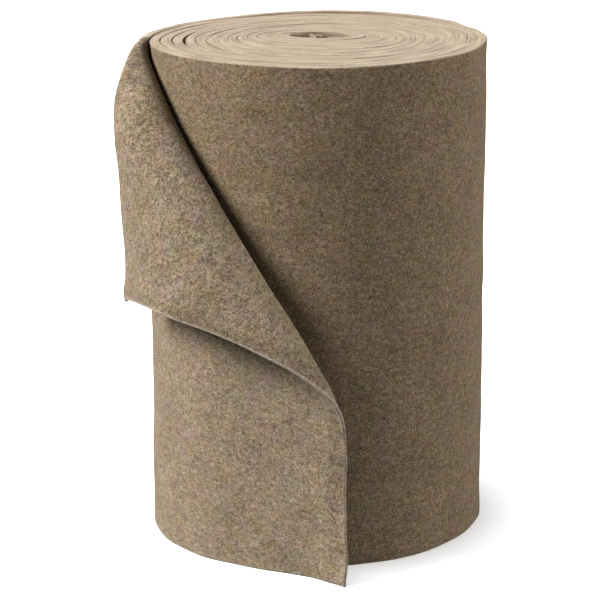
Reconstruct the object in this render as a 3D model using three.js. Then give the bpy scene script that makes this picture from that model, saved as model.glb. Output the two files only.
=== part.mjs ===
// A roll of thick wool felt, standing on one end with its loose corner folded outward.
// Millimetres, +Z up. The origin is on the floor under the middle of the roll, and the
// loose end is at the front, on the -Y side. Angles run counter-clockwise from +X, the way
// the felt winds outward. A place on the felt is given by how far along its length it lies,
// from the roll's left side, and by its height above the floor edge.

import * as THREE from 'three';

// The felt
const FELT_WIDTH = 500;
const FELT_THICKNESS = 10;
const LAYER_GAP = 0.5;
const WINDING_PITCH = FELT_THICKNESS + LAYER_GAP;
const FELT_COLOUR = 0x86745c;
const FELT_ROUGHNESS = 0.95;

// The wound roll, a little oval and slack at the upper left
const ROLL_RADIUS = 163;
const OVAL_SHARE = 0.035;
const OVAL_DIRECTION = radians(235);
const SLACK = 12;
const SLACK_DIRECTION = radians(172);
const SLACK_REACH = radians(72);
const SLACK_FROM_HEIGHT = 200;
const RIM_ROUNDING = 2.5;

// The eye at the middle of the roll, a slit left by the first turn
const EYE = {
  x: -6, y: 18, halfLength: 27, halfWidth: 12, turned: radians(-6), depth: 70, floorShare: 0.7,
};

// The loose end: where it parts from the last full turn, leaves the roll and stops
const LEFT_SIDE = radians(180);
const PART_ANGLE = radians(150);
const LEAVE_ANGLE = radians(243);
const PARTING_GAP = 1.2;
const FREE_LENGTH = 115;
const FREE_HEADING = radians(-26);
const FREE_EASE = 25;
const TOE_OUT = 15;
const TOE_LENGTH = 38;
const TOE_HEIGHT = 110;
const TIP_FLARE = 7;
const TIP_REACH = 70;

// Sections across the fold, from its top end to the cut end. Along and height place the
// fold on the flat felt. Its bend makes a quarter turn on the radius and goes on wider, on the
// crown, up to its whole turn in degrees. Curl is how fast the flap beyond the bend curls back
// round the roll, per millimetre, and slide is how far each millimetre of the flap slips down
// along the fold.
const FOLD_SECTIONS = [
  { along: -6, height: 500, radius: 6, crown: 6, turn: 176, curl: 0.0, slide: 0.12 },
  { along: 66, height: 460, radius: 15, crown: 24, turn: 180, curl: 0.005, slide: 0.28 },
  { along: 136, height: 384, radius: 19, crown: 34, turn: 177, curl: 0.005, slide: 0.34 },
  { along: 200, height: 294, radius: 19, crown: 36, turn: 168, curl: 0.0034, slide: 0.0 },
  { along: 258, height: 212, radius: 19, crown: 32, turn: 166, curl: 0.0032, slide: -0.28 },
  { along: 305, height: 143, radius: 16, crown: 18, turn: 168, curl: 0.003, slide: -0.2 },
];

// Mesh steps
const ROLL_SIDES = 96;
const SLACK_ROWS = 9;
const EYE_ROWS = 2;
const PLAN_STEP = 1;
const PARTING_COLUMNS = 8;
const SECTIONS_TO_TIP = 16;
const SECTIONS_FROM_TIP = 18;
const APRON_ROWS = 14;
const BEND_ROWS = 7;
const FLAP_ROWS = 7;
const MOST_OF_SECTION = 0.75;
const TIP_HALVINGS = 40;
const LEAST_CURL = 1e-6;
const SLOPE_STEP = 0.001;
const QUARTER_TURN = radians(90);

function radians(degrees) {
  return THREE.MathUtils.degToRad(degrees);
}

// Smooth curve through one column of the fold's sections, at a place from 0 to the last row
function sectionValue(column, place) {
  const last = FOLD_SECTIONS.length - 1;
  const row = Math.min(Math.floor(place), last - 1);
  const here = FOLD_SECTIONS[row][column];
  const next = FOLD_SECTIONS[row + 1][column];
  const before = row > 0 ? FOLD_SECTIONS[row - 1][column] : 2 * here - next;
  const after = row + 2 <= last ? FOLD_SECTIONS[row + 2][column] : 2 * next - here;
  const t = place - row;
  const linear = next - before;
  const square = 2 * before - 5 * here + 4 * next - after;
  const cube = 3 * (here - next) + after - before;
  return here + 0.5 * t * (linear + t * (square + t * cube));
}

// How far the outer turns stand off at the upper left
function slackAt(angle, height) {
  const side = (angle - SLACK_DIRECTION) / SLACK_REACH;
  const rise = (height - SLACK_FROM_HEIGHT) / (FELT_WIDTH - SLACK_FROM_HEIGHT);
  if (Math.abs(side) >= 1 || rise <= 0) return 0;
  return SLACK * Math.cos(0.5 * Math.PI * side) ** 2 * rise ** 2;
}

// Outer face of the wound felt without its slack, one pitch further out after each turn
function windingRadius(angle) {
  const spiral = ROLL_RADIUS + WINDING_PITCH * (angle - LEFT_SIDE) / (2 * Math.PI);
  return spiral * (1 + OVAL_SHARE * Math.cos(2 * (angle - OVAL_DIRECTION)));
}

// The loose end's middle line from above, stepped out round the roll and then straight on
function looseEndPlan() {
  const offset = LAYER_GAP + FELT_THICKNESS / 2;
  const points = [];
  let angle = PART_ANGLE + PARTING_GAP / ROLL_RADIUS;
  let along = 0;
  while (angle < LEAVE_ANGLE) {
    const radius = windingRadius(angle) + offset;
    points.push({ x: radius * Math.cos(angle), y: radius * Math.sin(angle), angle });
    angle += PLAN_STEP / radius;
  }
  const [from, to] = points.slice(-2);
  const leaveHeading = Math.atan2(to.y - from.y, to.x - from.x);
  for (let run = PLAN_STEP; run <= FREE_LENGTH; run += PLAN_STEP) {
    const eased = Math.min(1, run / FREE_EASE);
    const heading = THREE.MathUtils.lerp(leaveHeading, FREE_HEADING, eased);
    const { x, y } = points[points.length - 1];
    const step = { x: PLAN_STEP * Math.cos(heading), y: PLAN_STEP * Math.sin(heading) };
    points.push({ x: x + step.x, y: y + step.y, angle: LEAVE_ANGLE });
  }
  points.forEach((point, i) => {
    if (i > 0) along += Math.hypot(point.x - points[i - 1].x, point.y - points[i - 1].y);
    point.along = along;
  });
  const left = points.find((point) => point.angle >= LEFT_SIDE).along;
  points.forEach((point) => { point.along -= left; });
  return points;
}

const PLAN = looseEndPlan();
const START_ALONG = PLAN[0].along;
const END_ALONG = PLAN[PLAN.length - 1].along;

// A place on the plan line, with its heading and the direction that faces out of the roll
function planAt(along) {
  const clamped = THREE.MathUtils.clamp(along, START_ALONG, END_ALONG);
  const found = PLAN.findIndex((point) => point.along >= clamped);
  const i = THREE.MathUtils.clamp(found, 1, PLAN.length - 1);
  const [a, b] = [PLAN[i - 1], PLAN[i]];
  const t = (clamped - a.along) / (b.along - a.along);
  const heading = new THREE.Vector3(b.x - a.x, b.y - a.y, 0).normalize();
  return {
    x: THREE.MathUtils.lerp(a.x, b.x, t),
    y: THREE.MathUtils.lerp(a.y, b.y, t),
    angle: THREE.MathUtils.lerp(a.angle, b.angle, t),
    heading,
    outward: new THREE.Vector3(heading.y, -heading.x, 0),
  };
}

// The loose end below its fold: round the roll, slack at the top, its floor corner turned out
function apronPoint(along, height) {
  const plan = planAt(along);
  const nearEnd = THREE.MathUtils.clamp((along - END_ALONG) / TOE_LENGTH + 1, 0, 1);
  const nearFloor = THREE.MathUtils.clamp(1 - height / TOE_HEIGHT, 0, 1);
  const toe = TOE_OUT * nearEnd ** 2 * nearFloor ** 1.5;
  const point = new THREE.Vector3(plan.x, plan.y - toe, height);
  return point.addScaledVector(plan.outward, slackAt(plan.angle, height));
}

// The fold on the flat felt at one section, with the direction across it and how far the
// felt reaches that way before its top edge or its cut end
function foldOnFlat(place) {
  const before = Math.max(0, place - SLOPE_STEP);
  const after = Math.min(FOLD_SECTIONS.length - 1, place + SLOPE_STEP);
  const along = Math.min(sectionValue('along', place), END_ALONG);
  const height = sectionValue('height', place);
  const run = sectionValue('along', after) - sectionValue('along', before);
  const rise = sectionValue('height', after) - sectionValue('height', before);
  const length = Math.hypot(run, rise);
  const across = { along: -rise / length, height: run / length };
  const toTop = (FELT_WIDTH - height) / across.height;
  const toEnd = (END_ALONG - along) / across.along;
  return { along, height, across, toTop, toEnd, reach: Math.max(0, Math.min(toTop, toEnd)) };
}

// The section that runs out to the felt's corner, found by halving
function tipPlace() {
  let low = 0;
  let high = FOLD_SECTIONS.length - 1;
  for (let i = 0; i < TIP_HALVINGS; i += 1) {
    const middle = (low + high) / 2;
    const { toTop, toEnd } = foldOnFlat(middle);
    if (toTop < toEnd) low = middle;
    else high = middle;
  }
  return low;
}

// The bend of a section: a quarter turn on its radius, then wider on its crown
function bendAt(place) {
  const radius = sectionValue('radius', place);
  const crown = sectionValue('crown', place);
  const turn = radians(sectionValue('turn', place));
  const quarter = radius * QUARTER_TURN;
  return { radius, crown, turn, quarter, bend: quarter + crown * (turn - QUARTER_TURN) };
}

// Distances across the fold at which a section has its points, closer together in the bend
function sectionSteps(place) {
  const { reach } = foldOnFlat(place);
  const { bend } = bendAt(place);
  const bent = Math.min(bend, MOST_OF_SECTION * reach);
  const steps = [];
  for (let i = 1; i <= BEND_ROWS; i += 1) steps.push(bent * i / BEND_ROWS);
  for (let i = 1; i <= FLAP_ROWS; i += 1) steps.push(bent + (reach - bent) * i / FLAP_ROWS);
  return steps;
}

// A point of the folded corner, at a distance across the fold: round the bend, then along
// the curling flap
function flapPoint(place, distance) {
  const fold = foldOnFlat(place);
  const plan = planAt(fold.along);
  const { radius, crown, turn, quarter, bend } = bendAt(place);
  const curl = Math.max(sectionValue('curl', place), LEAST_CURL);
  const bent = Math.min(distance, bend);
  const beyond = Math.max(distance - bend, 0);
  const rising = Math.min(bent, quarter) / radius;
  const turning = QUARTER_TURN + Math.max(bent - quarter, 0) / crown;
  const last = turn + curl * beyond;
  const sideways = radius * Math.sin(rising) + crown * (Math.sin(turning) - 1)
    + (Math.sin(last) - Math.sin(turn)) / curl;
  let standOff = radius * (1 - Math.cos(rising)) - crown * Math.cos(turning)
    - (Math.cos(last) - Math.cos(turn)) / curl;
  const slip = sectionValue('slide', place) * (bent ** 2 / (2 * bend) + beyond);
  const toCorner = Math.hypot(
    END_ALONG - fold.along - distance * fold.across.along,
    FELT_WIDTH - fold.height - distance * fold.across.height,
  );
  standOff += TIP_FLARE * Math.max(0, 1 - toCorner / TIP_REACH) ** 2;
  const across = plan.heading.clone().multiplyScalar(fold.across.along);
  across.z = fold.across.height;
  const down = plan.heading.clone().multiplyScalar(fold.across.height);
  down.z = -fold.across.along;
  return apronPoint(fold.along, fold.height)
    .addScaledVector(across, sideways)
    .addScaledVector(plan.outward, standOff)
    .addScaledVector(down, slip);
}

// A list of points and triangles with a strip between two rows of point numbers
class MeshList {
  constructor() {
    this.points = [];
    this.triangles = [];
  }

  add(point) {
    return this.points.push(point) - 1;
  }

  triangle(a, b, c) {
    if (a !== b && b !== c && c !== a) this.triangles.push(a, b, c);
  }

  strip(lower, upper) {
    for (let i = 0; i + 1 < lower.length; i += 1) {
      this.triangle(lower[i], lower[i + 1], upper[i + 1]);
      this.triangle(lower[i], upper[i + 1], upper[i]);
    }
  }

  geometry() {
    const geometry = new THREE.BufferGeometry().setFromPoints(this.points);
    geometry.setIndex(this.triangles);
    geometry.computeVertexNormals();
    return geometry;
  }
}

// The roll: rings of points from the floor up round the wound felt, then into the eye
function woundRoll() {
  const mesh = new MeshList();
  const around = [...Array(ROLL_SIDES + 1).keys()];
  const closed = (row) => [...row, row[0]];

  const ring = (height, inset) => around.map((i) => {
    const angle = PART_ANGLE + 2 * Math.PI * i / ROLL_SIDES;
    const radius = windingRadius(angle) + slackAt(angle % (2 * Math.PI), height) - inset;
    return mesh.add(new THREE.Vector3(radius * Math.cos(angle), radius * Math.sin(angle), height));
  });

  const eyeRing = (height, share) => around.map((i) => {
    const angle = PART_ANGLE + 2 * Math.PI * i / around.length - EYE.turned;
    const point = new THREE.Vector3(
      share * EYE.halfLength * Math.cos(angle),
      share * EYE.halfWidth * Math.sin(angle),
      height,
    );
    point.applyAxisAngle(new THREE.Vector3(0, 0, 1), EYE.turned);
    return mesh.add(point.add(new THREE.Vector3(EYE.x, EYE.y, 0)));
  });

  const rings = [ring(0, RIM_ROUNDING), ring(RIM_ROUNDING, 0)];
  for (let i = 0; i < SLACK_ROWS; i += 1) {
    const share = i / (SLACK_ROWS - 1);
    const top = FELT_WIDTH - RIM_ROUNDING;
    rings.push(ring(THREE.MathUtils.lerp(SLACK_FROM_HEIGHT, top, share), 0));
  }
  rings.push(ring(FELT_WIDTH, RIM_ROUNDING));
  for (let i = 0; i <= EYE_ROWS; i += 1) {
    const share = i / EYE_ROWS;
    rings.push(eyeRing(FELT_WIDTH - EYE.depth * share, THREE.MathUtils.lerp(1, EYE.floorShare, share)));
  }
  for (let i = 0; i + 1 < rings.length; i += 1) mesh.strip(closed(rings[i]), closed(rings[i + 1]));

  const eyeFloor = mesh.add(new THREE.Vector3(EYE.x, EYE.y, FELT_WIDTH - EYE.depth));
  const foot = mesh.add(new THREE.Vector3(0, 0, 0));
  closed(rings[0]).forEach((point, i, row) => mesh.triangle(foot, row[i + 1] ?? point, point));
  closed(rings.at(-1)).forEach((point, i, row) => mesh.triangle(eyeFloor, point, row[i + 1] ?? point));
  return mesh.geometry();
}

// The loose end: its middle surface first, as columns below the fold and sections beyond it,
// then that surface given the felt's thickness
function looseEnd() {
  const middle = new MeshList();
  const tip = tipPlace();
  const last = FOLD_SECTIONS.length - 1;
  const places = [];
  for (let i = 0; i < SECTIONS_TO_TIP; i += 1) places.push(tip * i / SECTIONS_TO_TIP);
  for (let i = 0; i <= SECTIONS_FROM_TIP; i += 1) {
    places.push(THREE.MathUtils.lerp(tip, last, i / SECTIONS_FROM_TIP));
  }

  const column = (along, top) => {
    const rows = [];
    for (let i = 0; i <= APRON_ROWS; i += 1) {
      rows.push(middle.add(apronPoint(along, top * i / APRON_ROWS)));
    }
    return rows;
  };

  const columns = [];
  for (let i = 0; i < PARTING_COLUMNS; i += 1) {
    const share = i / PARTING_COLUMNS;
    columns.push(column(THREE.MathUtils.lerp(START_ALONG, FOLD_SECTIONS[0].along, share), FELT_WIDTH));
  }
  const sections = places.map((place) => {
    const fold = foldOnFlat(place);
    const rows = column(fold.along, fold.height);
    columns.push(rows);
    const foot = rows[APRON_ROWS];
    const pointed = place === 0 || place === last;
    return [foot, ...sectionSteps(place).map((distance) => (
      pointed ? foot : middle.add(flapPoint(place, distance))
    ))];
  });
  for (let i = 0; i + 1 < columns.length; i += 1) middle.strip(columns[i + 1], columns[i]);
  for (let i = 0; i + 1 < sections.length; i += 1) middle.strip(sections[i + 1], sections[i]);

  const edge = [
    ...columns.map((rows) => rows[0]),
    ...columns.at(-1).slice(1),
    ...sections.slice(1, -1).reverse().map((rows) => rows.at(-1)),
    ...columns.slice(0, PARTING_COLUMNS + 1).reverse().map((rows) => rows[APRON_ROWS]),
    ...columns[0].slice(0, -1).reverse(),
  ];
  const floorEdge = new Set(columns.map((rows) => rows[0]));
  return thickened(middle, edge, floorEdge);
}

// A closed sheet from a middle surface, its edge listed in order; the floor edge stays level
function thickened(middle, edge, floorEdge) {
  const normals = middle.geometry().getAttribute('normal');
  const count = middle.points.length;
  const sheet = new MeshList();
  for (const side of [1, -1]) {
    middle.points.forEach((point, i) => {
      const normal = new THREE.Vector3().fromBufferAttribute(normals, i);
      if (floorEdge.has(i)) normal.setZ(0).normalize();
      sheet.add(point.clone().addScaledVector(normal, side * FELT_THICKNESS / 2));
    });
  }
  for (let i = 0; i < middle.triangles.length; i += 3) {
    const [a, b, c] = middle.triangles.slice(i, i + 3);
    sheet.triangle(a, b, c);
    sheet.triangle(count + a, count + c, count + b);
  }
  sheet.strip(edge.map((i) => count + i), edge);
  return sheet.geometry();
}

function feltMesh(name, geometry) {
  const material = new THREE.MeshStandardMaterial({ color: FELT_COLOUR, roughness: FELT_ROUGHNESS });
  const mesh = new THREE.Mesh(geometry, material);
  mesh.name = name;
  return mesh;
}

const rollOfFelt = new THREE.Group();
rollOfFelt.add(feltMesh('wound_roll', woundRoll()));
rollOfFelt.add(feltMesh('loose_end', looseEnd()));

export default rollOfFelt;
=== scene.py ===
# A roll of thick heathered felt standing on end, its loose corner folded outward and down.
# Sizes are in millimetres and angles in radians, counter-clockwise from +X as seen from above,
# the way the felt winds outward. Meshes are written in metres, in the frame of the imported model.
import math

import bpy
import numpy as np
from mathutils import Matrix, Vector


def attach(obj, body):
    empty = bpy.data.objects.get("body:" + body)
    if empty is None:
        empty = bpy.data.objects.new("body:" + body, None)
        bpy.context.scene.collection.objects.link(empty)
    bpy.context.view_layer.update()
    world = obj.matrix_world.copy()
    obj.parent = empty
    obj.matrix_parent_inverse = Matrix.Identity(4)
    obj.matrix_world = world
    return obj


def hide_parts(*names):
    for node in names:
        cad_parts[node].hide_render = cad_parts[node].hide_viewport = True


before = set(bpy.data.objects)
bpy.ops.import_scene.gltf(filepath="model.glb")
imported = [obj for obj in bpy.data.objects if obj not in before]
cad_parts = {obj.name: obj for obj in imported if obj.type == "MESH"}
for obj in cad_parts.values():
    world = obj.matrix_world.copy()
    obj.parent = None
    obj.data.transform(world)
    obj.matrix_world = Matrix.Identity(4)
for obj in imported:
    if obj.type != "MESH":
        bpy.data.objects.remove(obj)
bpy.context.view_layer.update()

MM = 0.001
SHARP_CORNER = math.radians(80)

# The felt
FELT_WIDTH = 500.0
FELT_THICKNESS = 10.0
LAYER_GAP = 0.5
PITCH = FELT_THICKNESS + LAYER_GAP
EDGE_ROUNDING = 1.5
EDGE_STEPS = np.array([0.0, 0.2, 0.5, 0.9, 1.5])

# The cut end of the felt: how much it is thinned, how far it stands out and how it wanders
CUT_END_THINNING = 0.6
CUT_END_REACH = 16.0
CUT_END_OUT = 2.0
CUT_END_UNEVEN = 0.6
CUT_END_PATCH = 45.0

# How pale the cut edges are, from 0 to 1. The cut end turns paler between two heights, where it
# becomes the flap's lower edge: pale cut felt with a painted highlight on it. The upper edge is
# palest on the rim, up to a place along the felt.
END_EDGE_PALE = 0.15
FLAP_EDGE_PAINTED_HIGHLIGHT = 0.8
FLAP_EDGE_FROM = (150.0, 205.0)
TOP_EDGE_PALE = 0.3
RIM_PALE_UP_TO = (-14.0, 4.0)
PALE_EDGE_WIDTH = 4.2

# The wound roll, a little oval, with its outer turns slack at the upper left
ROLL_RADIUS = 163.0
OVAL_SHARE = 0.035
OVAL_DIRECTION = math.radians(235)
SLACK = 12.0
SLACK_DIRECTION = math.radians(172)
SLACK_REACH = math.radians(72)
SLACK_FROM_HEIGHT = 200.0
SLACK_UNDER_LAST_TURN = 0.94
SLACK_DECAY_TURNS = 6.0
SLACK_UNEVEN_TURNS = 0.5
SLACK_UNEVEN_PERIOD = 2.7
LAST_TURN_ENDS = (-0.45, 0.25)

# The turns on the top face: uneven along the felt, with grooves between them that open into
# cracks here and there, most of all on the slack side, and the last turn standing proud
TURNS = 13
MIDDLE_OF_TURN = 0.5
TURN_ROUNDING = 1.1
TURN_UNEVEN = 0.4
TURN_PATCH = 170.0
GROOVE_DEPTH = 0.5
GROOVE_WIDTH = 0.05
CRACK_WIDTH = 0.9
CRACK_DEPTH = 8.0
CRACK_PATCH = 120.0
CRACK_FROM = 0.5
MOST_CRACK = 1.5
LEAST_OPEN = 0.2
WEAR_PATCH = 60.0
WEAR_MEAN = 0.6
WEAR_SPREAD = 0.5
WEAR_RANGE = (0.1, 1.4)
PARTING_CRACK = 4.0
PARTING_CRACK_SHARE = 0.1
PARTING_CRACK_ENDS = (0.02, 0.07)
PROUD = 3.0
PROUD_FROM = (math.radians(30), math.radians(38))
PROUD_TO = (math.radians(95), math.radians(150))

# The eye in the middle of the roll, how many of the inner turns follow its shape, and the inner
# end of the felt that stands in it, as points of its middle line
EYE_X = -3.0
EYE_Y = 21.0
EYE_SCALE = 0.85
EYE_STRETCH = 0.32
EYE_TURNED = math.radians(-6)
EYE_TURNS = 8.0
EYE_DEPTHS = (8.0, 25.0, 55.0, 95.0)
EYE_TAPER = 0.25
INNER_END_X = (30.0, 18.0, 9.0, 1.0, -5.0, -9.0)
INNER_END_Y = (26.0, 29.0, 28.0, 25.0, 22.0, 18.0)
INNER_END_TOP = 498.5
INNER_END_UNEVEN = 1.5
INNER_END_PATCH = 14.0
INNER_END_HALF = 6.0
INNER_END_BEVEL = 1.0
INNER_END_PALE = 0.4

# The loose end: where it parts from the last full turn, leaves the roll and stops
LEFT_SIDE = math.radians(180)
PART_ANGLE = math.radians(150)
LEAVE_ANGLE = math.radians(243)
FREE_LENGTH = 115.0
FREE_HEADING = math.radians(-26)
FREE_EASE = 25.0
TOE_OUT = 15.0
TOE_LENGTH = 38.0
TOE_HEIGHT = 110.0
TOE_STEEPNESS = 1.5
TIP_FLARE = 7.0
TIP_REACH = 70.0

# Sections across the fold, from its top end to the cut end: where it lies on the flat felt, the
# radius of its bend's first quarter turn, the wider crown it goes on with, the whole turn in
# degrees, how fast the flap beyond curls back round the roll, per millimetre, and how far each
# millimetre of the flap slips down along the fold
FOLD_SECTIONS = {
    "along": (-6.0, 66.0, 136.0, 200.0, 258.0, 305.0),
    "height": (500.0, 460.0, 384.0, 294.0, 212.0, 143.0),
    "radius": (6.0, 15.0, 19.0, 19.0, 19.0, 16.0),
    "crown": (6.0, 24.0, 34.0, 36.0, 32.0, 18.0),
    "turn": (176.0, 180.0, 177.0, 168.0, 166.0, 168.0),
    "curl": (0.0, 0.005, 0.005, 0.0034, 0.0032, 0.003),
    "slide": (0.12, 0.28, 0.34, 0.0, -0.28, -0.2),
}
LAST_SECTION = len(FOLD_SECTIONS["along"]) - 1
LEAST_CURL = 1e-6

# Mesh steps of the roll
ROLL_COLUMNS = 360
SIDE_ROWS = 56
SIDE_BELOW_RIM = 6.0
LAYER_EDGE_STEPS = np.array([0.0, 0.25, 0.8, 1.8])
LAYER_MIDDLE_STEPS = 5
INNER_END_SECTIONS = 40
CORNER_SPREAD = 3

# Mesh steps of the loose end. Rows of the apron are spread out where the fold lies below the rim.
PLAN_STEP = 1.0
PARTING_COLUMNS = 20
SECTIONS_TO_TIP = 60
SECTIONS_FROM_TIP = 64
PLACES_TRIED = 4000
SLOPE_STEP = 0.001
APRON_ROWS = 70
BEND_ROWS = 14
FLAP_ROWS = 30
MOST_OF_SECTION = 0.75
FLAP_EDGE_REACH = 2 * EDGE_ROUNDING
EDGE_SHARE_OF_FLAP = 0.2
FOLD_STEP_SPREAD = 4.0
FOLD_STEP_WITHIN = 20.0

# Soft unevenness of the faces, and the seeds of all unevenness
SURFACE_UNEVEN = 0.45
SURFACE_PATCH = 70.0
SEAM_CALM = 60.0
NOISE_WAVES = 24
NOISE_LENGTHS = (0.5, 1.5)
SIDE_SEED = 3
TURN_SEED = 5
CRACK_SEED = 7
WEAR_SEED = 9
LOOSE_END_SEED = 11
INNER_END_SEED = 13
CUT_END_SEED = 15

# The photograph's camera
CAMERA_PLACE = (0.0, -2713.7, 941.9)
CAMERA_PITCH = 0.256776
CAMERA_YAW = 0.00796
CAMERA_LENS = 164.05
CAMERA_SENSOR = 36.0


def soft_noise(points, patch, seed):
    """Smooth noise of about unit spread that changes over patches of the given size."""
    random = np.random.default_rng(seed)
    directions = random.normal(size=(NOISE_WAVES, 3))
    directions /= np.linalg.norm(directions, axis=1, keepdims=True)
    lengths = random.uniform(*NOISE_LENGTHS, (NOISE_WAVES, 1))
    phases = random.uniform(0, 2 * math.pi, NOISE_WAVES)
    waves_at = np.asarray(points) @ (directions * lengths * 2 * math.pi / patch).T + phases
    return np.cos(waves_at).sum(axis=-1) * math.sqrt(2 / NOISE_WAVES)


def ease(value, start, end):
    """0 before start and 1 after end, smooth between."""
    share = np.clip((np.asarray(value) - start) / (end - start), 0, 1)
    return share * share * (3 - 2 * share)


def smooth_line(share, corners, values):
    """Values at shares of a line through corners, with its corners rounded off."""
    window = np.hanning(2 * CORNER_SPREAD + 3)[1:-1]
    window /= window.sum()
    straight = np.interp(share, corners, values)
    before = 2 * straight[0] - straight[CORNER_SPREAD:0:-1]
    after = 2 * straight[-1] - straight[-2:-2 - CORNER_SPREAD:-1]
    return np.convolve(np.concatenate([before, straight, after]), window, mode="valid")


def edge_drop(distance, rounding=EDGE_ROUNDING):
    """How far a rounded edge has fallen away at a distance from the cut."""
    inward = np.clip(rounding - np.asarray(distance), 0, rounding)
    return rounding - np.sqrt(rounding**2 - inward**2)


def slack_at(angle, height):
    """How far the outer turns stand off at the upper left."""
    side = np.clip((angle - SLACK_DIRECTION) / SLACK_REACH, -1, 1)
    rise = np.clip((height - SLACK_FROM_HEIGHT) / (FELT_WIDTH - SLACK_FROM_HEIGHT), 0, None)
    return SLACK * np.cos(0.5 * math.pi * side) ** 2 * rise**2


def winding_radius(angle):
    """Outer face of the wound felt without its slack, one pitch further out after each turn."""
    spiral = ROLL_RADIUS + PITCH * (angle - LEFT_SIDE) / (2 * math.pi)
    return spiral * (1 + OVAL_SHARE * np.cos(2 * (angle - OVAL_DIRECTION)))


# Meshes


class FeltRows:
    """Rows of points, with where they lie in the flat felt and how pale they are as cut edge, with its
    painted highlight.
    """

    def __init__(self):
        self.points = []
        self.places = []
        self.cuts = []

    def add(self, x, y, z, place, cut):
        """Adds a row and returns the numbers of its points."""
        first = sum(len(row) for row in self.points)
        self.points.append(np.stack(np.broadcast_arrays(x, y, z), axis=-1))
        self.places.append(np.stack(np.broadcast_arrays(*place, x)[:3], axis=-1))
        count = len(self.points[-1])
        self.cuts.append(np.broadcast_to(cut, count))
        return list(range(first, first + count))

    def joined(self):
        """Points, places and cuts of all the rows."""
        return [np.concatenate(rows) for rows in (self.points, self.places, self.cuts)]


def strip(lower, upper):
    """Faces between two rows of point numbers, without the corners that fall together."""
    faces = []
    for quad in zip(lower[:-1], lower[1:], upper[1:], upper[:-1]):
        corners = tuple(dict.fromkeys(quad))
        if len(corners) > 2:
            faces.append(corners)
    return faces


def felt_object(name, points, faces, places, cuts, material):
    """A mesh of felt whose points carry where they lie in the flat felt and how pale they are as
    cut edge, a paleness that also holds a painted highlight. Points that no face uses are left out."""
    used = np.unique(np.concatenate([np.array(face) for face in faces]))
    renumbered = np.zeros(len(points), dtype=int)
    renumbered[used] = np.arange(len(used))
    faces = [tuple(renumbered[list(face)].tolist()) for face in faces]
    mesh = bpy.data.meshes.new(name)
    mesh.from_pydata((points[used] * MM).tolist(), [], faces)
    mesh.attributes.new("felt_place", "FLOAT_VECTOR", "POINT")
    mesh.attributes["felt_place"].data.foreach_set("vector", (places[used] * MM).ravel())
    mesh.attributes.new("cut", "FLOAT", "POINT")
    mesh.attributes["cut"].data.foreach_set("value", cuts[used])
    mesh.materials.append(material)
    mesh.polygons.foreach_set("use_smooth", [True] * len(mesh.polygons))
    mesh.set_sharp_from_angle(angle=SHARP_CORNER)
    mesh.validate()
    piece = bpy.data.objects.new(name, mesh)
    bpy.context.collection.objects.link(piece)
    return piece


# The wound roll

ROLL_ANGLES = PART_ANGLE + np.linspace(0, 2 * math.pi, ROLL_COLUMNS + 1)
ROLL_TURNED = (ROLL_ANGLES - PART_ANGLE) / (2 * math.pi)


def turn_slack(depth):
    """Share of the slack that a turn takes, by its depth in turns below the last one."""
    wander = SLACK_UNEVEN_TURNS * np.sin(2 * math.pi * depth / SLACK_UNEVEN_PERIOD)
    below_last = np.clip(depth + wander - MIDDLE_OF_TURN, 0, None)
    inner = SLACK_UNDER_LAST_TURN * np.exp(-below_last / SLACK_DECAY_TURNS)
    last = 1 - ease(depth, *LAST_TURN_ENDS)
    return inner + (1 - inner) * last


def turn_place(depth, middle_depth, height):
    """A row round the wound felt, at a depth in turns below its outer face at the parting."""
    angle = ROLL_ANGLES
    spiral = ROLL_RADIUS + PITCH * ((PART_ANGLE - LEFT_SIDE) / (2 * math.pi) - depth)
    inner = ease(depth, TURNS - EYE_TURNS, TURNS)
    outer_radius = spiral * (1 + OVAL_SHARE * np.cos(2 * (angle - OVAL_DIRECTION)))
    outer_radius = outer_radius + slack_at(angle % (2 * math.pi), height) * turn_slack(middle_depth)
    along_slit = EYE_SCALE * spiral * (1 + EYE_STRETCH) * np.cos(angle - EYE_TURNED)
    across_slit = EYE_SCALE * spiral * (1 - EYE_STRETCH) * np.sin(angle - EYE_TURNED)
    slit_x = along_slit * math.cos(EYE_TURNED) - across_slit * math.sin(EYE_TURNED)
    slit_y = along_slit * math.sin(EYE_TURNED) + across_slit * math.cos(EYE_TURNED)
    x = (1 - inner) * outer_radius * np.cos(angle) + inner * (slit_x + EYE_X)
    y = (1 - inner) * outer_radius * np.sin(angle) + inner * (slit_y + EYE_Y)
    return x, y


def felt_length(depth):
    """Length of felt wound between the parting and a depth in turns."""
    return 2 * math.pi * (ROLL_RADIUS * depth - PITCH * depth**2 / 2)


def side_row(felt, height, inset):
    """One row round the roll's side."""
    depth = -ROLL_TURNED
    x, y = turn_place(depth, depth + MIDDLE_OF_TURN, height)
    points = np.stack([x, y, np.full_like(x, height)], axis=-1)
    calm = ease(1 - ROLL_TURNED, 0, SEAM_CALM / ROLL_RADIUS)
    bumps = np.clip(1 + soft_noise(points, SURFACE_PATCH, SIDE_SEED), 0, None)
    uneven = SURFACE_UNEVEN * bumps * calm
    shrink = 1 - (inset + uneven) / np.hypot(x, y)
    return felt.add(x * shrink, y * shrink, height, (-felt_length(depth), height, 0.0), 0.0)


def roll_side(felt):
    """The roll's side: its rows from the floor up, and its faces."""
    heights = np.linspace(EDGE_ROUNDING, FELT_WIDTH - EDGE_ROUNDING - SIDE_BELOW_RIM, SIDE_ROWS)
    rows = [side_row(felt, 0.0, EDGE_ROUNDING)]
    rows += [side_row(felt, height, 0.0) for height in heights]
    faces = []
    for lower, upper in zip(rows[:-1], rows[1:]):
        faces += strip([*lower, lower[0]], [*upper, upper[0]])
    return rows, faces


def layer_shares():
    """Where the rows across one turn lie, as shares of its thickness, close together at its edges."""
    edges = LAYER_EDGE_STEPS / FELT_THICKNESS
    middle = np.linspace(edges[-1], 1 - edges[-1], LAYER_MIDDLE_STEPS)[1:-1]
    return [*edges, *middle, *(1 - edges[::-1])]


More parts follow.
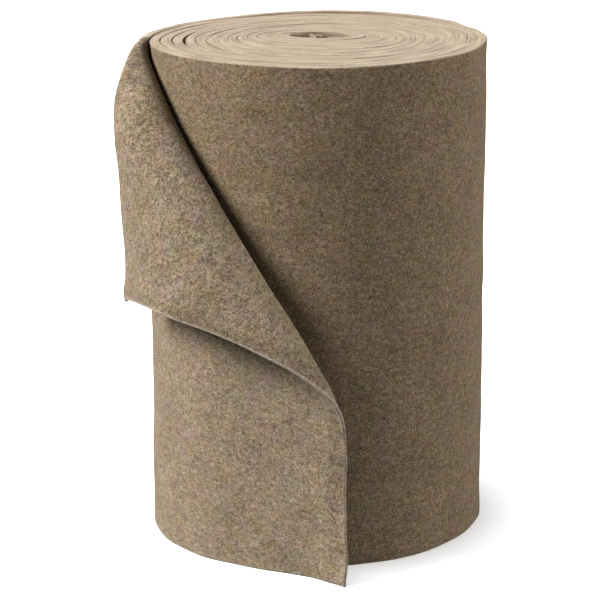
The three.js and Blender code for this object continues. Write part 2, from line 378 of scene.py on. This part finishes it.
def turn_rows(felt, turn, shares):
    """The rows across one turn of the top, with the groove or crack on its outer side."""
    middle_depth = turn + MIDDLE_OF_TURN - ROLL_TURNED
    along = -felt_length(turn - ROLL_TURNED)
    felt_line = np.stack([along, 0 * along, 0 * along], axis=-1)
    around = ROLL_ANGLES % (2 * math.pi)
    standing = ease(around, *PROUD_FROM) * (1 - ease(around, *PROUD_TO))
    proud = PROUD * standing * (1 - ease(middle_depth, *LAST_TURN_ENDS))
    lift = FELT_WIDTH + proud + TURN_UNEVEN * soft_noise(felt_line, TURN_PATCH, TURN_SEED)
    slack_side = LEAST_OPEN + (1 - LEAST_OPEN) * np.cos((ROLL_ANGLES - SLACK_DIRECTION) / 2) ** 2
    opening = soft_noise(felt_line, CRACK_PATCH, CRACK_SEED) - CRACK_FROM
    crack = slack_side * np.clip(opening, 0, MOST_CRACK)
    gap = (GROOVE_WIDTH + CRACK_WIDTH * crack) / PITCH
    wear = WEAR_MEAN + WEAR_SPREAD * soft_noise(felt_line, WEAR_PATCH, WEAR_SEED)
    worn = slack_side * np.clip(wear, *WEAR_RANGE)

    rows = []
    if turn > 0:
        x, y = turn_place(turn - ROLL_TURNED, middle_depth, FELT_WIDTH)
        height = FELT_WIDTH - (GROOVE_DEPTH * worn + CRACK_DEPTH * np.clip(crack, 0, 1))
        rows.append(felt.add(x, y, height, (along, height, 0.0), np.clip(1 - worn - crack, 0, 1)))
    for share in shares:
        depth = turn - ROLL_TURNED + gap / 2 + share * (1 - gap)
        if turn == 0 and share == 0:
            depth = -ROLL_TURNED
        x, y = turn_place(depth, middle_depth, FELT_WIDTH)
        outermost = turn == 0 and share < MIDDLE_OF_TURN
        rounding = EDGE_ROUNDING if outermost else TURN_ROUNDING
        drop = edge_drop(FELT_THICKNESS * min(share, 1 - share), rounding)
        if not outermost:
            drop = drop * worn
        height = lift - drop
        if turn == 0 and share < PARTING_CRACK_SHARE:
            height = height - PARTING_CRACK * (1 - ease(ROLL_TURNED, *PARTING_CRACK_ENDS))
        place = (along, FELT_WIDTH - drop, share * FELT_THICKNESS)
        rows.append(felt.add(x, y, height, place, np.clip(1 - drop / rounding, 0, 1)))
    return rows


def roll_top(felt, rim):
    """The top face, turn by turn inward from the rim. A row's last point closes the circle, so it
    is the first point one turn further out. Returns the innermost row, the points across the
    inner end of the felt, and the faces."""
    shares = layer_shares()
    per_turn = len(shares) + 1
    rows = []
    for turn in range(TURNS):
        rows += turn_rows(felt, turn, shares)
    for outer, inner in zip(rows, rows[per_turn:]):
        inner[-1] = outer[0]
    faces = strip(rim, rows[0])
    for outer, inner in zip(rows[:-1], rows[1:]):
        faces += strip(outer, inner)
    step = [row[-1] for row in rows[:per_turn + 1]]
    faces.append((rim[-1], rim[0], *reversed(step)))
    return rows[-1], [row[0] for row in rows[-per_turn:]], faces


def roll_eye(felt, wall, felt_end):
    """Faces of the eye, down from the inner edge of the first turn to its floor."""
    faces = []
    for depth_below in EYE_DEPTHS:
        depth = TURNS - ROLL_TURNED + EYE_TAPER * depth_below / EYE_DEPTHS[-1]
        x, y = turn_place(depth, depth, FELT_WIDTH)
        place = (-felt_length(depth), FELT_WIDTH - depth_below, FELT_THICKNESS)
        lower = felt.add(x, y, FELT_WIDTH - depth_below, place, 0.0)
        faces += strip(wall, lower)
        if depth_below == EYE_DEPTHS[0]:
            faces.append((lower[-1], wall[-1], *felt_end, lower[0]))
        else:
            faces += strip([wall[-1], wall[0]], [lower[-1], lower[0]])
        wall = lower
    faces.append(tuple(wall))
    return faces


def inner_end(felt):
    """Faces of the felt's inner end, a strip that stands in the eye."""
    share = np.linspace(0, 1, INNER_END_SECTIONS)
    corners = np.linspace(0, 1, len(INNER_END_X))
    line_x = smooth_line(share, corners, INNER_END_X)
    line_y = smooth_line(share, corners, INNER_END_Y)
    heading = np.arctan2(np.gradient(line_y), np.gradient(line_x))
    line = np.stack([line_x, line_y, 0 * line_x], axis=-1)
    top = INNER_END_TOP + INNER_END_UNEVEN * soft_noise(line, INNER_END_PATCH, INNER_END_SEED)
    below_top = top - INNER_END_BEVEL
    foot = np.full_like(top, FELT_WIDTH - EYE_DEPTHS[-1])
    half = INNER_END_HALF
    flat_half = half - INNER_END_BEVEL
    outline = (
        (half, foot, 0.0),
        (half, below_top, 0.0),
        (flat_half, top, INNER_END_PALE),
        (-flat_half, top, INNER_END_PALE),
        (-half, below_top, 0.0),
        (-half, foot, 0.0),
    )
    rows = []
    for side, height, pale in outline:
        x = line_x - side * np.sin(heading)
        y = line_y + side * np.cos(heading)
        rows.append(felt.add(x, y, height, (line_x, height, half - side), pale))
    faces = []
    for lower, upper in zip(rows, rows[1:] + rows[:1]):
        faces += strip(lower, upper)
    faces.append(tuple(row[0] for row in rows))
    faces.append(tuple(row[-1] for row in reversed(rows)))
    return faces


def wound_roll(material):
    """The roll: side, top with its turns and grooves, eye, foot, and the felt's inner end."""
    felt = FeltRows()
    side, faces = roll_side(felt)
    wall, felt_end, top_faces = roll_top(felt, side[-1])
    faces += top_faces
    faces += roll_eye(felt, wall, felt_end)
    faces.append(tuple(side[0][::-1]))
    faces += inner_end(felt)
    points, places, cuts = felt.joined()
    return felt_object("wound_felt", points, faces, places, cuts, material)


# The loose end


def loose_end_plan():
    """The loose end's middle line from above: x, y, angle and distance along."""
    offset = LAYER_GAP + FELT_THICKNESS / 2
    angle = PART_ANGLE
    line = []
    while angle < LEAVE_ANGLE:
        radius = winding_radius(angle) + offset
        line.append((radius * math.cos(angle), radius * math.sin(angle), angle))
        angle += PLAN_STEP / radius
    leave_heading = math.atan2(line[-1][1] - line[-2][1], line[-1][0] - line[-2][0])
    for run in np.arange(PLAN_STEP, FREE_LENGTH + PLAN_STEP, PLAN_STEP):
        heading = leave_heading + (FREE_HEADING - leave_heading) * min(1, run / FREE_EASE)
        x, y, _ = line[-1]
        line.append((x + PLAN_STEP * math.cos(heading), y + PLAN_STEP * math.sin(heading), LEAVE_ANGLE))
    x, y, angle = np.array(line).T
    along = np.concatenate([[0], np.cumsum(np.hypot(np.diff(x), np.diff(y)))])
    along -= np.interp(LEFT_SIDE, angle[angle < LEAVE_ANGLE], along[angle < LEAVE_ANGLE])
    return x, y, angle, along


PLAN_X, PLAN_Y, PLAN_ANGLE, PLAN_ALONG = loose_end_plan()
PLAN_HEADING = np.unwrap(np.arctan2(np.gradient(PLAN_Y), np.gradient(PLAN_X)))
START_ALONG = PLAN_ALONG[0]
END_ALONG = PLAN_ALONG[-1]


def plan_at(along):
    """A place on the plan line with its angle round the roll and its heading."""
    return [np.interp(along, PLAN_ALONG, line) for line in (PLAN_X, PLAN_Y, PLAN_ANGLE, PLAN_HEADING)]


def apron_points(along, height):
    """The loose end below its fold: round the roll, slack at the top, with an uneven cut end and
    its floor corner turned out."""
    x, y, angle, heading = plan_at(along)
    near_end = np.clip((along - END_ALONG) / TOE_LENGTH + 1, 0, 1)
    near_floor = np.clip(1 - height / TOE_HEIGHT, 0, 1)
    toe = TOE_OUT * near_end**2 * near_floor**TOE_STEEPNESS
    slack = slack_at(angle, height)
    up_the_end = np.stack([0 * height, 0 * height, height], axis=-1)
    ragged = CUT_END_OUT + CUT_END_UNEVEN * soft_noise(up_the_end, CUT_END_PATCH, CUT_END_SEED)
    ragged = ragged * near_end**2
    x = x + np.sin(heading) * slack + np.cos(heading) * ragged
    y = y - np.cos(heading) * slack + np.sin(heading) * ragged - toe
    return np.stack([x, y, height], axis=-1)


def section_value(column, place):
    """Smooth cubic curve through one column of the fold's sections."""
    values = FOLD_SECTIONS[column]
    values = np.array([2 * values[0] - values[1], *values, 2 * values[-1] - values[-2]])
    row = np.clip(np.floor(place).astype(int), 0, LAST_SECTION - 1)
    before, here, following, after = (values[row + i] for i in range(4))
    t = place - row
    linear = following - before
    square = 2 * before - 5 * here + 4 * following - after
    cube = 3 * (here - following) + after - before
    return here + 0.5 * t * (linear + t * (square + t * cube))


def fold_place(along):
    """The place in the table of sections where the fold crosses a distance along the felt."""
    places = np.linspace(0, LAST_SECTION, PLACES_TRIED)
    return np.interp(along, section_value("along", places), places)


def fold_on_flat(place):
    """The fold on the flat felt, the direction across it, and the felt's reach that way."""
    before = np.clip(place - SLOPE_STEP, 0, None)
    after = np.clip(place + SLOPE_STEP, None, LAST_SECTION)
    along = section_value("along", place)
    height = section_value("height", place)
    run = section_value("along", after) - section_value("along", before)
    rise = section_value("height", after) - section_value("height", before)
    length = np.hypot(run, rise)
    across_along = -rise / length
    across_height = run / length
    to_top = (FELT_WIDTH - height) / across_height
    to_end = (END_ALONG - along) / across_along
    return along, height, across_along, across_height, to_top, to_end


def bend_at(place):
    """The bend of a section: radius, crown, whole turn, length of its first quarter and of all."""
    radius = section_value("radius", place)
    crown = section_value("crown", place)
    turn = np.radians(section_value("turn", place))
    quarter = radius * math.pi / 2
    return radius, crown, turn, quarter, quarter + crown * (turn - math.pi / 2)


def flap_points(place, distance):
    """Points of the folded corner: round the bend, then along the curling flap. Also returns
    where they lie on the flat felt."""
    along, height, across_along, across_height, _, _ = fold_on_flat(place)
    heading = plan_at(along)[3]
    radius, crown, turn, quarter, bend = bend_at(place)
    curl = np.maximum(section_value("curl", place), LEAST_CURL)
    bent = np.minimum(distance, bend)
    beyond = np.maximum(distance - bend, 0)
    rising = np.minimum(bent, quarter) / radius
    turning = math.pi / 2 + np.maximum(bent - quarter, 0) / crown
    last = turn + curl * beyond
    sideways = radius * np.sin(rising) + crown * (np.sin(turning) - 1)
    sideways = sideways + (np.sin(last) - np.sin(turn)) / curl
    stand_off = radius * (1 - np.cos(rising)) - crown * np.cos(turning)
    stand_off = stand_off - (np.cos(last) - np.cos(turn)) / curl
    slip = section_value("slide", place) * (bent**2 / (2 * bend) + beyond)
    flat_along = along + distance * across_along
    flat_height = height + distance * across_height
    to_corner = np.hypot(END_ALONG - flat_along, FELT_WIDTH - flat_height)
    stand_off = stand_off + TIP_FLARE * np.clip(1 - to_corner / TIP_REACH, 0, None) ** 2
    level = across_along * sideways + across_height * slip
    base = apron_points(along, height)
    x = base[..., 0] + np.cos(heading) * level + np.sin(heading) * stand_off
    y = base[..., 1] + np.sin(heading) * level - np.cos(heading) * stand_off
    z = base[..., 2] + across_height * sideways - across_along * slip
    return np.stack([x, y, z], axis=-1), flat_along, flat_height


def tip_place():
    """The section that runs out to the felt's corner."""
    places = np.linspace(SLOPE_STEP, LAST_SECTION - SLOPE_STEP, PLACES_TRIED)
    *_, to_top, to_end = fold_on_flat(places)
    return places[np.argmax(to_top >= to_end)]


def point_normals(points, faces):
    """Normals of the points of a mesh of triangles and quads, weighted by area."""
    normals = np.zeros_like(points)
    triangles = np.array([(f[0], f[i], f[i + 1]) for f in faces for i in range(1, len(f) - 1)])
    a, b, c = (points[triangles[:, i]] for i in range(3))
    cross = np.cross(b - a, c - a)
    for corner in range(3):
        np.add.at(normals, triangles[:, corner], cross)
    return normals / np.linalg.norm(normals, axis=1, keepdims=True)


def apron_column(felt, along, top):
    """A column of the loose end from the floor up to its fold or its upper edge."""
    spread = 1 + FOLD_STEP_SPREAD * ease(FELT_WIDTH - top, 0, FOLD_STEP_WITHIN)
    below_top = EDGE_STEPS[::-1] * spread
    inner = np.linspace(EDGE_STEPS[-1], top - below_top[0], APRON_ROWS)[1:-1]
    height = np.concatenate([EDGE_STEPS, inner, top - below_top])
    points = apron_points(np.full_like(height, along), height)
    return felt.add(*points.T, (along, height, 0.0), 0.0)


def section_distances(place):
    """Distances of a section's points from the fold line, round the bend and out to the edge."""
    *_, to_top, to_end = fold_on_flat(place)
    reach = max(0, min(to_top, to_end))
    *_, bend = bend_at(place)
    bent = min(bend, MOST_OF_SECTION * reach)
    edge = min(FLAP_EDGE_REACH, EDGE_SHARE_OF_FLAP * reach)
    return np.concatenate([
        np.linspace(0, bent, BEND_ROWS, endpoint=False)[1:],
        np.linspace(bent, reach - edge, FLAP_ROWS, endpoint=False),
        reach - edge * EDGE_STEPS[::-1] / EDGE_STEPS[-1],
    ])


def loose_middle():
    """The loose end's middle surface, as columns below the fold and sections beyond it: points,
    where they lie along and up the flat felt, faces, and the loop of points round its edge."""
    tip = tip_place()
    at_end = fold_place(END_ALONG - EDGE_STEPS[::-1])
    before_tip = np.linspace(0, tip, SECTIONS_TO_TIP, endpoint=False)
    after_tip = np.linspace(tip, at_end[0], SECTIONS_FROM_TIP, endpoint=False)
    section_places = np.concatenate([before_tip, after_tip, at_end])
    fold_along, fold_height, *_ = fold_on_flat(section_places)

    felt = FeltRows()
    parting = np.linspace(START_ALONG, fold_along[0], PARTING_COLUMNS, endpoint=False)
    columns = [apron_column(felt, along, FELT_WIDTH) for along in parting]
    sections = []
    for place, along, top in zip(section_places, fold_along, fold_height):
        column = apron_column(felt, along, top)
        columns.append(column)
        distance = section_distances(place)
        if place in (section_places[0], section_places[-1]):
            sections.append([column[-1]] * (len(distance) + 1))
        else:
            flap, flat_along, flat_height = flap_points(np.full_like(distance, place), distance)
            sections.append([column[-1], *felt.add(*flap.T, (flat_along, flat_height, 0.0), 0.0)])

    faces = []
    for rows in (columns, sections):
        for left, right in zip(rows[:-1], rows[1:]):
            faces += strip(right, left)
    edge_loop = [rows[0] for rows in columns] + columns[-1][1:]
    edge_loop += [rows[-1] for rows in sections[-2:0:-1]]
    edge_loop += [rows[-1] for rows in columns[PARTING_COLUMNS::-1]] + columns[0][-2:0:-1]
    points, places, _ = felt.joined()
    return points, places[:, 0], places[:, 1], faces, edge_loop


def edge_paleness(alongs, heights, to_edge):
    """How much each point of the loose end shows the pale colour of cut felt, with a painted highlight
    along the flap's lower edge.
    """
    # Painted highlight: the cut end is made much paler where it becomes the flap's lower edge
    end_pale = END_EDGE_PALE + (FLAP_EDGE_PAINTED_HIGHLIGHT - END_EDGE_PALE) * ease(heights, *FLAP_EDGE_FROM)
    top_pale = 1 + (TOP_EDGE_PALE - 1) * ease(alongs, *RIM_PALE_UP_TO)
    nearer_top = FELT_WIDTH - heights < END_ALONG - alongs
    pale = np.where(nearer_top & (heights > FELT_WIDTH / 2), top_pale, end_pale)
    return pale * (1 - ease(to_edge, 0, PALE_EDGE_WIDTH))


def loose_end(material):
    """The loose end: its middle surface given the felt's thickness, with rounded edges."""
    points, alongs, heights, faces, edge_loop = loose_middle()
    normals = point_normals(points, faces)
    on_floor = heights == 0
    normals[on_floor, 2] = 0
    normals /= np.linalg.norm(normals, axis=1, keepdims=True)
    to_edge = np.minimum(np.minimum(heights, FELT_WIDTH - heights), END_ALONG - alongs)
    thinned = 1 - CUT_END_THINNING * (1 - ease(END_ALONG - alongs, 0, CUT_END_REACH))
    half = thinned * FELT_THICKNESS / 2 - edge_drop(to_edge)
    calm = ease(alongs - START_ALONG, 0, SEAM_CALM)
    bumps = np.clip(1 + soft_noise(points, SURFACE_PATCH, LOOSE_END_SEED), 0, None)
    uneven = SURFACE_UNEVEN * bumps * calm
    middle = points + normals * uneven[:, None]
    outer = middle + normals * half[:, None]
    inner = middle - normals * half[:, None]

    count = len(points)
    all_faces = faces + [tuple(count + i for i in reversed(face)) for face in faces]
    closed = edge_loop + edge_loop[:1]
    all_faces += strip([count + i for i in closed], closed)
    face_depth = FELT_THICKNESS / 2 - half
    places = np.concatenate([
        np.stack([alongs, heights, face_depth], axis=-1),
        np.stack([alongs, heights, FELT_THICKNESS - face_depth], axis=-1),
    ])
    cuts = np.tile(edge_paleness(alongs, heights, to_edge), 2)
    return felt_object("loose_felt", np.concatenate([outer, inner]), all_faces, places, cuts, material)


# Material

# Colours of the felt, in linear light. Blotches, clouds, tints and the painted shades multiply what is
# below.
FLECK_DARK = (0.073, 0.053, 0.035, 1)
FLECK_LIGHT = (0.254, 0.199, 0.143, 1)
BLOTCH_DARK = (0.88, 0.87, 0.85, 1)
BLOTCH_LIGHT = (1.12, 1.12, 1.12, 1)
CLOUD_DARK = (0.87, 0.87, 0.87, 1)
CLOUD_LIGHT = (1.13, 1.13, 1.13, 1)
TINT_GREEN = (0.945, 1.02, 0.91, 1)
TINT_RED = (1.06, 0.965, 1.0, 1)
TINT_YELLOW = (1.025, 1.0, 0.88, 1)
TINT_GREY = (0.975, 1.0, 1.12, 1)
FIBRE_LIGHT = (0.33, 0.26, 0.185, 1)
FIBRE_DARK = (0.055, 0.039, 0.022, 1)
# Cut felt is paler than its faces, and these cut colours are paler still as painted light, standing in for
# light from above on the top
CUT_DARK_WITH_PAINTED_LIGHT = (0.29, 0.247, 0.198, 1)
CUT_LIGHT_WITH_PAINTED_LIGHT = (0.455, 0.396, 0.325, 1)
CUT_FLECK_DARK = (0.86, 0.84, 0.81, 1)
CUT_FLECK_LIGHT = (1.14, 1.14, 1.14, 1)
# Painted shade: the wound roll's felt is darkened, and the loose end's lightened a little, standing in for
# less light on the roll
ROLL_PAINTED_SHADE = (0.82, 0.78, 0.72, 1)
LOOSE_END_PAINTED_LIGHT = (1.03, 1.03, 1.03, 1)

# Layers of noise in the felt's plane: grains a metre, and what differs from plain noise. The
# shift sets each layer apart from the others.
NOISE_LAYERS = {
    "blotches": {"scale": 26, "detail": 3.0},
    "clouds": {"scale": 85, "shift": 4.6},
    "warm_tints": {"scale": 75, "shift": 3.1},
    "cool_tints": {"scale": 60, "shift": 6.7},
    "fine_flecks": {"scale": 560, "roughness": 0.65},
    "coarse_flecks": {"scale": 210, "shift": 8.3},
    "cut_streaks": {"scale": 330, "shift": 2.2, "stretch": (0.06, 1, 1)},
}
LIGHT_FIBRES = {"scale": 170, "shift": 1.7}
DARK_FIBRES = {"scale": 190, "shift": 5.3}

# The stretch of a layer's noise, about its middle, over which it goes from none to full
NOISE_MIDDLE = 0.5
BLOTCH_RANGE = (0.3, 0.7)
TINT_RANGE = (0.36, 0.64)
FLECK_RANGE = (0.37, 0.63)
CUT_STREAK_RANGE = (0.38, 0.62)
CUT_FLECK_RANGE = (0.35, 0.65)
FIBRE_BREAKS = (0.44, 0.56)
FIBRE_BREAK_SHIFT = 0.4
FIBRE_HALF_WIDTHS = (0.012, 0.03)
FIBRE_STRENGTH = 0.6
FINE_FLECK_SHARE = 0.66

# The felt's surface
BUMP_HEIGHT = 1.2
BUMP_STRENGTH = 0.6
FIBRE_BUMP = 0.25
FELT_ROUGHNESS = 0.95
FELT_SPECULAR = 0.05
SHEEN_WEIGHT = 0.1
SHEEN_ROUGHNESS = 0.6
SHEEN_TINT = (0.7, 0.6, 0.46, 1)


def felt_material(name, root_painted_shade, end_painted_shading):
    """Matt heathered felt: blotches, flecks and fibres laid out in the felt's own plane. Its painted
    shade, darker on the wound roll, eases to the loose end's between the parting and the roll's left side."""
    material = bpy.data.materials.new(name)
    material.use_nodes = True
    tree = material.node_tree
    shader = tree.nodes["Principled BSDF"]

    def link(output, socket):
        tree.links.new(output, socket)

    def node(kind, **settings):
        made = tree.nodes.new(kind)
        for setting, value in settings.items():
            setattr(made, setting, value)
        return made

    place = node("ShaderNodeAttribute", attribute_name="felt_place").outputs["Vector"]
    # The cut attribute: pale cut felt, and a painted highlight along the flap's lower edge
    cut = node("ShaderNodeAttribute", attribute_name="cut").outputs["Fac"]

    def noise(scale, stretch=(1, 1, 1), detail=2.0, roughness=0.6, shift=0.0):
        """Noise of so many grains a metre, stretched in the felt's plane."""
        mapping = node("ShaderNodeMapping")
        mapping.inputs["Scale"].default_value = stretch
        mapping.inputs["Location"].default_value = (shift, shift, shift)
        link(place, mapping.inputs["Vector"])
        texture = node("ShaderNodeTexNoise")
        texture.inputs["Scale"].default_value = scale
        texture.inputs["Detail"].default_value = detail
        texture.inputs["Roughness"].default_value = roughness
        link(mapping.outputs["Vector"], texture.inputs["Vector"])
        return texture.outputs["Fac"]

    def layer(name):
        return noise(**NOISE_LAYERS[name])

    def remap(value, low, high, to_low=0.0, to_high=1.0):
        made = node("ShaderNodeMapRange")
        made.inputs["From Min"].default_value = low
        made.inputs["From Max"].default_value = high
        made.inputs["To Min"].default_value = to_low
        made.inputs["To Max"].default_value = to_high
        link(value, made.inputs["Value"])
        return made.outputs["Result"]

    def math_node(operation, first, second):
        made = node("ShaderNodeMath", operation=operation)
        for socket, value in zip(made.inputs, (first, second)):
            if isinstance(value, float):
                socket.default_value = value
            else:
                link(value, socket)
        return made.outputs["Value"]

    def mix(share, first, second, blend="MIX"):
        """A mix of two colours. The node has sockets of each kind, so its colours are picked by number."""
        made = node("ShaderNodeMix", data_type="RGBA", blend_type=blend)
        for socket, value in ((made.inputs[0], share), (made.inputs[6], first), (made.inputs[7], second)):
            if isinstance(value, (tuple, float)):
                socket.default_value = value
            else:
                link(value, socket)
        return made.outputs[2]

    def multiply(colour, share, dark, light):
        return mix(1.0, colour, mix(share, dark, light), "MULTIPLY")

    def fibres(scale, shift):
        """Thin curved lines, broken up into short lengths."""
        wander = math_node("SUBTRACT", noise(scale, detail=1.0, shift=shift), NOISE_MIDDLE)
        lines = math_node("ABSOLUTE", wander, 0.0)
        broken = remap(noise(scale, detail=0.0, shift=shift + FIBRE_BREAK_SHIFT), *FIBRE_BREAKS)
        return math_node("MULTIPLY", remap(lines, *FIBRE_HALF_WIDTHS, 1.0, 0.0), broken)

    fine_flecks = math_node("MULTIPLY", layer("fine_flecks"), FINE_FLECK_SHARE)
    coarse_flecks = math_node("MULTIPLY", layer("coarse_flecks"), 1 - FINE_FLECK_SHARE)
    flecks = math_node("ADD", fine_flecks, coarse_flecks)
    light_fibres = fibres(**LIGHT_FIBRES)
    dark_fibres = fibres(**DARK_FIBRES)

    colour = mix(remap(flecks, *FLECK_RANGE), FLECK_DARK, FLECK_LIGHT)
    colour = multiply(colour, remap(layer("blotches"), *BLOTCH_RANGE), BLOTCH_DARK, BLOTCH_LIGHT)
    colour = multiply(colour, remap(layer("clouds"), *BLOTCH_RANGE), CLOUD_DARK, CLOUD_LIGHT)
    colour = multiply(colour, remap(layer("warm_tints"), *TINT_RANGE), TINT_GREEN, TINT_RED)
    colour = multiply(colour, remap(layer("cool_tints"), *TINT_RANGE), TINT_YELLOW, TINT_GREY)
    colour = mix(remap(light_fibres, 0.0, 1.0, 0.0, FIBRE_STRENGTH), colour, FIBRE_LIGHT)
    colour = mix(remap(dark_fibres, 0.0, 1.0, 0.0, FIBRE_STRENGTH), colour, FIBRE_DARK)

    # Cut colour: real pale cut felt, raised further as painted light on the top face
    cut_colour_with_painted_light = mix(remap(layer("cut_streaks"), *CUT_STREAK_RANGE), CUT_DARK_WITH_PAINTED_LIGHT, CUT_LIGHT_WITH_PAINTED_LIGHT)
    cut_flecks = remap(flecks, *CUT_FLECK_RANGE)
    cut_colour_with_painted_light = multiply(cut_colour_with_painted_light, cut_flecks, CUT_FLECK_DARK, CUT_FLECK_LIGHT)
    colour = mix(cut, colour, cut_colour_with_painted_light)

    # Painted shade: darker on the roll, easing from the parting to the loose end's painted lighter tone
    place_parts = node("ShaderNodeSeparateXYZ")
    link(place, place_parts.inputs["Vector"])
    from_root = remap(place_parts.outputs["X"], START_ALONG * MM, 0.0)
    colour = multiply(colour, from_root, root_painted_shade, end_painted_shading)
    link(colour, shader.inputs["Base Color"])

    streaks = math_node("SUBTRACT", light_fibres, dark_fibres)
    height = math_node("ADD", flecks, math_node("MULTIPLY", streaks, FIBRE_BUMP))
    bump = node("ShaderNodeBump")
    bump.inputs["Strength"].default_value = BUMP_STRENGTH
    bump.inputs["Distance"].default_value = BUMP_HEIGHT * MM
    link(height, bump.inputs["Height"])
    link(bump.outputs["Normal"], shader.inputs["Normal"])
    shader.inputs["Roughness"].default_value = FELT_ROUGHNESS
    shader.inputs["Specular IOR Level"].default_value = FELT_SPECULAR
    shader.inputs["Sheen Weight"].default_value = SHEEN_WEIGHT
    shader.inputs["Sheen Roughness"].default_value = SHEEN_ROUGHNESS
    shader.inputs["Sheen Tint"].default_value = SHEEN_TINT
    return material


# The roll's felt carries painted shade; the loose end's eases from it to a little painted light
roll = wound_roll(felt_material("wound_felt", ROLL_PAINTED_SHADE, ROLL_PAINTED_SHADE))
end = loose_end(felt_material("loose_felt", ROLL_PAINTED_SHADE, LOOSE_END_PAINTED_LIGHT))
for piece, node_name in ((roll, "wound_roll"), (end, "loose_end")):
    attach(piece, "root")
    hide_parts(node_name)

# Stage, light and camera. The floor's sizes are in metres, and its glow keeps it white in shadow, dimmed
# near the foot as a painted contact shadow.
WHITE = (1, 1, 1, 1)
FLOOR_SIZE = 40.0
FLOOR_COLOUR = (0.9, 0.9, 0.9, 1)
FLOOR_ROUGHNESS = 0.9
FLOOR_GLOW = 0.7
FLOOR_GLOW_AT_FOOT = 0.33
OPENNESS_AT_FOOT = 0.5
SHADOW_REACH = 0.048
WORLD_STRENGTH = 0.17

# Lamps: where they stand as seen from the roll, strength, and how wide they are in degrees
LAMPS = {
    "key": {"toward": (-0.76, -0.27, 0.59), "strength": 7.9, "spread": 24},
    "side": {"toward": (0.98, -0.12, 0.14), "strength": 4.4, "spread": 40},
}


def floor_material():
    """White glowing floor whose glow is dimmed close to the foot of what stands on it, a painted contact
    shadow.
    """
    material = bpy.data.materials.new("pale_floor")
    material.use_nodes = True
    tree = material.node_tree
    shader = tree.nodes["Principled BSDF"]
    shader.inputs["Base Color"].default_value = FLOOR_COLOUR
    shader.inputs["Roughness"].default_value = FLOOR_ROUGHNESS
    shader.inputs["Emission Color"].default_value = WHITE
    # Painted contact shadow: the floor's glow falls off near the foot
    openness = tree.nodes.new("ShaderNodeAmbientOcclusion")
    openness.inputs["Distance"].default_value = SHADOW_REACH
    glow = tree.nodes.new("ShaderNodeMapRange")
    glow.inputs["From Min"].default_value = OPENNESS_AT_FOOT
    glow.inputs["To Min"].default_value = FLOOR_GLOW_AT_FOOT
    glow.inputs["To Max"].default_value = FLOOR_GLOW
    tree.links.new(openness.outputs["AO"], glow.inputs["Value"])
    tree.links.new(glow.outputs["Result"], shader.inputs["Emission Strength"])
    return material


def soft_sun(name, toward, strength, spread):
    """A broad lamp far away."""
    data = bpy.data.lights.new(name, "SUN")
    data.energy = strength
    data.angle = math.radians(spread)
    lamp = bpy.data.objects.new(name, data)
    bpy.context.collection.objects.link(lamp)
    lamp.rotation_euler = Vector(toward).to_track_quat("Z", "Y").to_euler()


bpy.ops.mesh.primitive_plane_add(size=FLOOR_SIZE)
floor = bpy.context.object
floor.name = "floor"
floor.data.materials.append(floor_material())
floor.visible_diffuse = False

for lamp_name, lamp_values in LAMPS.items():
    soft_sun(lamp_name, **lamp_values)

world = bpy.data.worlds.new("studio")
world.use_nodes = True
background = world.node_tree.nodes["Background"]
background.inputs["Color"].default_value = WHITE
background.inputs["Strength"].default_value = WORLD_STRENGTH
bpy.context.scene.world = world
bpy.context.scene.view_settings.view_transform = "Standard"

camera_data = bpy.data.cameras.new("photo_camera")
camera_data.lens = CAMERA_LENS
camera_data.sensor_width = CAMERA_SENSOR
camera = bpy.data.objects.new("photo_camera", camera_data)
bpy.context.collection.objects.link(camera)
camera.location = [value * MM for value in CAMERA_PLACE]
camera.rotation_euler = (math.pi / 2 - CAMERA_PITCH, 0, CAMERA_YAW)
bpy.context.scene.camera = camera
